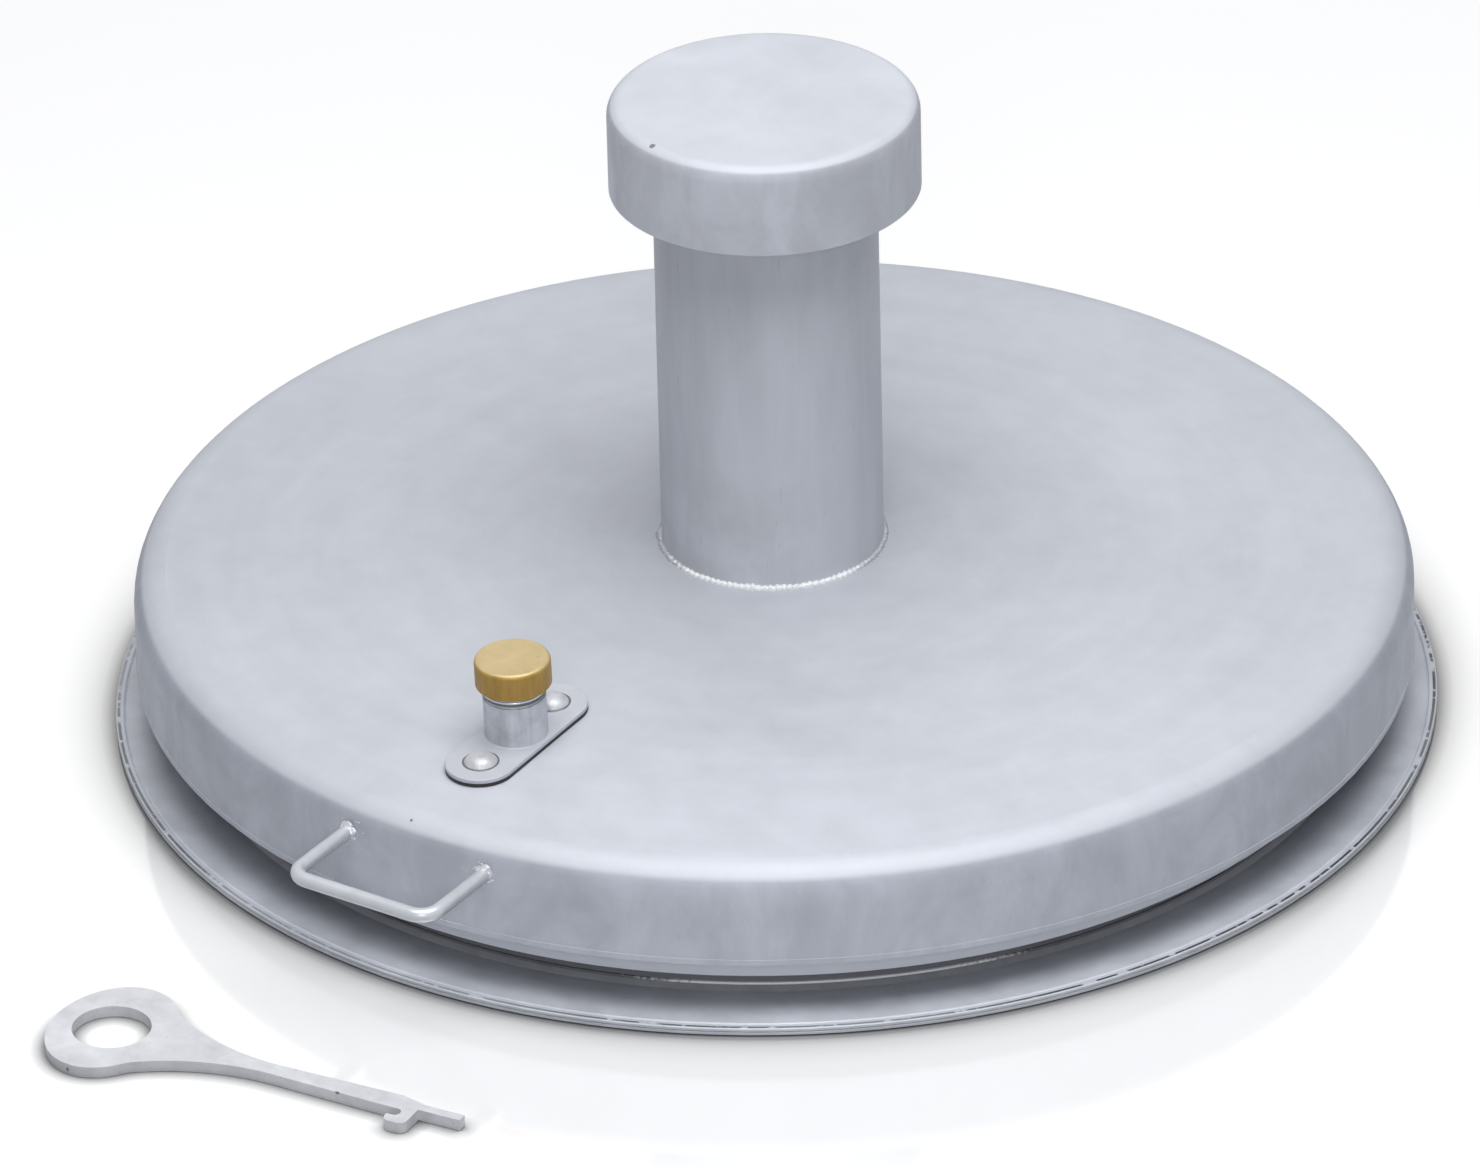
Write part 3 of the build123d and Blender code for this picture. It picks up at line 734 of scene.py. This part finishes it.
def spatter(build, x0, count, reach, size, seed):
    """Lumpy drops of metal on the skirt round a tack, their reach and size in millimetres."""
    for index in range(count):
        turn = random.uniform(0, FULL_TURN)
        away = ROD_RADIUS + random.uniform(*reach) * MM
        centre = on_skirt(x0 + away * math.cos(turn), HANDLE_Z + away * math.sin(turn))
        drop = random.uniform(*size) * MM
        own = seed + 3 * index
        for vert in bmesh.ops.create_icosphere(build, subdivisions=3, radius=1.0)["verts"]:
            way = vert.co.copy()
            length = drop * lumps(own, way, scale=1.7, amount=0.5)
            length *= lumps(own + 5, way, scale=5, amount=0.15)
            vert.co = centre + length * Vector((way.x, way.y * DROP_SQUASH, way.z))


random.seed(41)
tacks = bmesh.new()
for side in (-1, 1):
    x0 = side * HALF_PITCH
    tack(tacks, x0, seed=20.0 + 9 * side)
    spatter(tacks, x0, count=9, reach=(0.4, 2.4), size=(0.5, 1.0), seed=60.0 + side)
    spatter(tacks, x0, count=16, reach=(2.5, 8.0), size=(0.2, 0.5), seed=90.0 + side)
handle_tacks = link_outwards("handle_tacks", tacks, looks["weld_bead"])
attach(handle_tacks, "lid")
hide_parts("handle_welds")


# ---------------------------------------------------------------- lock details
# They stand on the lock's own axis, which is square to the domed lid and so slightly tilted.

lock_axis = Vector(joints["cap_turn"]["axis"]).normalized()
lock_origin = Vector(joints["cap_turn"]["pos_m"])
lock_side = Vector((1, 0, 0))
lock_back = lock_axis.cross(lock_side)
tube_low, tube_high = extent("lock_tube")
TUBE_RADIUS = (tube_high.x - tube_low.x) / 2
PLATE_TOP = 4.0 * MM


def on_lock(angle, radius, height):
    """A point round the lock's axis, its height taken along the axis from the lid's outside."""
    around = lock_side * math.cos(angle) + lock_back * math.sin(angle)
    return lock_origin + around * radius + lock_axis * height


THREAD_PITCH = 1.5 * MM
THREAD_FOOT, THREAD_TOP = 28.8 * MM, 41.5 * MM
THREAD_CREST = 0.22 * MM
THREAD_SINK = 0.1 * MM
THREAD_LAND = 0.2
THREAD_SEGMENTS = 64
THREAD_RUN_OUT = 24
ROOT_COVER = 0.03 * MM


def thread_rows():
    """Sections along the helix, whose crest fades out at both ends."""
    steps = (THREAD_TOP - THREAD_FOOT) / THREAD_PITCH * THREAD_SEGMENTS
    half = THREAD_PITCH / 2
    root = TUBE_RADIUS - THREAD_SINK
    rows = []
    for index in range(int(steps)):
        angle = FULL_TURN * index / THREAD_SEGMENTS
        height = THREAD_FOOT + THREAD_PITCH * index / THREAD_SEGMENTS
        fade = min(1.0, index / THREAD_RUN_OUT, (steps - index) / THREAD_RUN_OUT)
        crest = TUBE_RADIUS + THREAD_CREST * fade
        profile = (
            (root, height - half),
            (crest, height - THREAD_LAND * half),
            (crest, height + THREAD_LAND * half),
            (root, height + half),
        )
        rows.append([on_lock(angle, radius, z) for radius, z in profile])
    return rows


thread = bmesh.new()
skin(thread, thread_rows(), closed=False)
thread_metal = zinc("thread_crest", rgba(0.62, 0.63, 0.66), rough=0.35, metallic=0.5)
tube_thread = link_outwards("tube_thread", thread, thread_metal, smooth=False)
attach(tube_thread, "lid")



def root_row(angle):
    """Painted shade: a dark sleeve in the bottom of the thread, from its lowest turn to the cap."""
    radius = TUBE_RADIUS + ROOT_COVER
    return [on_lock(angle, radius, z) for z in (THREAD_FOOT - THREAD_PITCH / 2, THREAD_TOP)]


sleeve = bmesh.new()
skin(sleeve, [root_row(angle) for angle in angles(96)])
# A thin dark sleeve of painted shade between the thread's turns.
thread_root_painted_shade = link_outwards("thread_root_painted_shade", sleeve, looks["lock_steel"])
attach(thread_root_painted_shade, "lid")

FILLET_LEG = 0.8 * MM
FILLET_STEPS = 6
FILLET_SINK = 0.05 * MM


def fillet_row(angle):
    """A hollow section in the corner between the tube and the plate."""
    here = (math.cos(angle), math.sin(angle), 0)
    leg = FILLET_LEG * lumps(31.0, here, scale=2.2, amount=0.25)
    row = []
    for step in range(FILLET_STEPS + 1):
        turn = QUARTER_TURN * step / FILLET_STEPS
        away = TUBE_RADIUS + leg * (1 - math.sin(turn)) - FILLET_SINK
        row.append(on_lock(angle, away, PLATE_TOP - FILLET_SINK + leg * (1 - math.cos(turn))))
    return row


fillet = bmesh.new()
skin(fillet, [fillet_row(angle) for angle in angles(180)])
tube_fillet = link_outwards("tube_fillet", fillet, own_looks["lock_plate"])
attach(tube_fillet, "lid")

screw_low, screw_high = extent("lock_screws")
HEAD_RADIUS = (screw_high.x - screw_low.x) / 2
SCREW_REACH = 32.0 * MM
LINE_WIDTH = 0.7 * MM
LINE_OUTSIDE = 0.4
LINE_STEPS = 4


def head_shade_row(reach, angle):
    """A section of the dark ring of painted shade in the crevice round a screw head."""
    here = (math.cos(angle), math.sin(angle), reach * 100)
    width = LINE_WIDTH * lumps(50.0, here, scale=1.8, amount=0.5)
    row = []
    for step in range(LINE_STEPS + 1):
        turn = math.pi * step / LINE_STEPS
        away = HEAD_RADIUS + width * (LINE_OUTSIDE + math.cos(turn))
        height = PLATE_TOP + 0.5 * width * math.sin(turn)
        row.append(lock_back * reach + on_lock(angle, away, height))
    return row


head_shade_lines = bmesh.new()
for reach in (-SCREW_REACH, SCREW_REACH):
    skin(head_shade_lines, [head_shade_row(reach, angle) for angle in angles(96)])
# Dark rings of painted shade round the screw heads.
screw_shade_lines = link_outwards("screw_shade_lines", head_shade_lines, looks["lock_steel"])
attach(screw_shade_lines, "lid")


# ---------------------------------------------------------------- floor

FLOOR_HALF = 9.0
FLOOR_DROP = 0.2 * MM
FLOOR_LIFT = 0.63  # own light of the floor, which the eye sees but the object doesn't
FLOOR_PAPER = (rgba(0.43, 0.43, 0.435), rgba(0.45, 0.45, 0.45))
FLOOR_MIRROR = 0.22
MIRROR_ROUGHNESS = 0.08
MIRROR_FADES = (95 * MM, 155 * MM)  # out from the rim
RIM_RADIUS = cad_high.x
SHADE_DEPTH = 0.75
SHADE_REACH = 11 * MM
SHADE_STARTS = (30 * MM, 10 * MM)  # in from the rim
TOUCH_REACH = 9 * MM
TOUCH_POWER = 2.0


def floor_material():
    """Pale paper with a faint reflection, a painted shadow in a band round the frame's rim, and a dark line where
    ambient occlusion finds the object touching it.
    """
    n = Nodes(bpy.data.materials.new("studio_floor"))
    # Painted shadow round the rim, deepest at the rim and fading outwards.
    from_rim = n.math("DIVIDE", n.math("SUBTRACT", RIM_RADIUS, n.radius()), SHADE_REACH)
    fall_off = n.math("MINIMUM", n.math("EXPONENT", from_rim), 1.0)
    under_rim = n.spread(n.radius(), *(RIM_RADIUS - inside for inside in SHADE_STARTS))
    shade = n.product(fall_off, SHADE_DEPTH, under_rim)
    occlusion = n.add("ShaderNodeAmbientOcclusion", {"Distance": TOUCH_REACH}, samples=16)
    touch = n.math("POWER", occlusion.outputs["AO"], TOUCH_POWER)
    open_air = n.product(n.inverse(shade), touch)

    paper_colour = n.mix(n.noise(n.place, 3, detail=2), *FLOOR_PAPER)
    paper_inputs = {"Color": n.mix(open_air, grey(0), paper_colour)}
    paper = n.add("ShaderNodeBsdfDiffuse", paper_inputs)
    lift_inputs = {"Color": grey(1), "Strength": n.product(n.seen(), open_air, FLOOR_LIFT)}
    lift = n.add("ShaderNodeEmission", lift_inputs)
    lit = n.add("ShaderNodeAddShader", {0: paper.outputs[0], 1: lift.outputs[0]})

    mirror_inputs = {"Color": grey(1), "Roughness": MIRROR_ROUGHNESS}
    mirror = n.add("ShaderNodeBsdfAnisotropic", mirror_inputs)
    far = n.spread(n.radius(), *(RIM_RADIUS + outside for outside in MIRROR_FADES))
    share = n.product(n.inverse(far), FLOOR_MIRROR)
    both = {0: share, 1: lit.outputs[0], 2: mirror.outputs[0]}
    return n.finish(n.add("ShaderNodeMixShader", both))


floor_build = bmesh.new()
bmesh.ops.create_grid(floor_build, x_segments=8, y_segments=8, size=FLOOR_HALF)
floor = link("studio_floor", floor_build, floor_material(), smooth=False)
floor.location.z = cad_low.z - FLOOR_DROP


# ---------------------------------------------------------------- light


def studio(right, near, up):
    """A place in the studio: metres to the camera's right, towards the camera and up."""
    depth = Vector((math.sin(AZIMUTH), -math.cos(AZIMUTH), 0)) * near
    return level_right * right + depth + Vector((0, 0, up))


def area_light(name, place, aim, size, power):
    data = bpy.data.lights.new(name, "AREA")
    data.shape = "RECTANGLE"
    data.size, data.size_y = size
    data.energy = power
    lamp = bpy.data.objects.new(name, data)
    lamp.location = place
    lamp.rotation_mode = "QUATERNION"
    lamp.rotation_quaternion = (Vector(aim) - place).to_track_quat("-Z", "Y")
    bpy.context.scene.collection.objects.link(lamp)


area_light(
    "top_softbox",
    place=studio(right=0.1, near=0.5, up=2.5),
    aim=(0, 0, 0.1),
    size=(2.2, 1.7),
    power=57,
)
area_light(
    "front_fill",
    place=studio(right=-0.15, near=3.2, up=1.7),
    aim=(0, 0, 0.15),
    size=(0.9, 0.9),
    power=22,
)

# The sky's colour by the rise of the ray.
SKY = (
    (0.0, rgba(0.05, 0.06, 0.08)),
    (0.5, rgba(0.06, 0.07, 0.09)),
    (0.9, rgba(0.30, 0.31, 0.33)),
)


def studio_world():
    """A dim sky for light, which shows as plain white."""
    n = Nodes(bpy.data.worlds.new("studio_world"), output="ShaderNodeOutputWorld")
    ramp = n.add("ShaderNodeValToRGB", {0: n.parts(n.texture["Generated"])[2]})
    while len(ramp.color_ramp.elements) < len(SKY):
        ramp.color_ramp.elements.new(0.5)
    for stop, (rise, colour) in zip(ramp.color_ramp.elements, SKY):
        stop.position = rise
        stop.color = colour
    light = n.add("ShaderNodeBackground", {"Color": ramp.outputs[0]})
    white = n.add("ShaderNodeBackground", {"Color": grey(1)})
    both = {0: n.seen(), 1: light.outputs[0], 2: white.outputs[0]}
    return n.finish(n.add("ShaderNodeMixShader", both))


bpy.context.scene.world = studio_world()
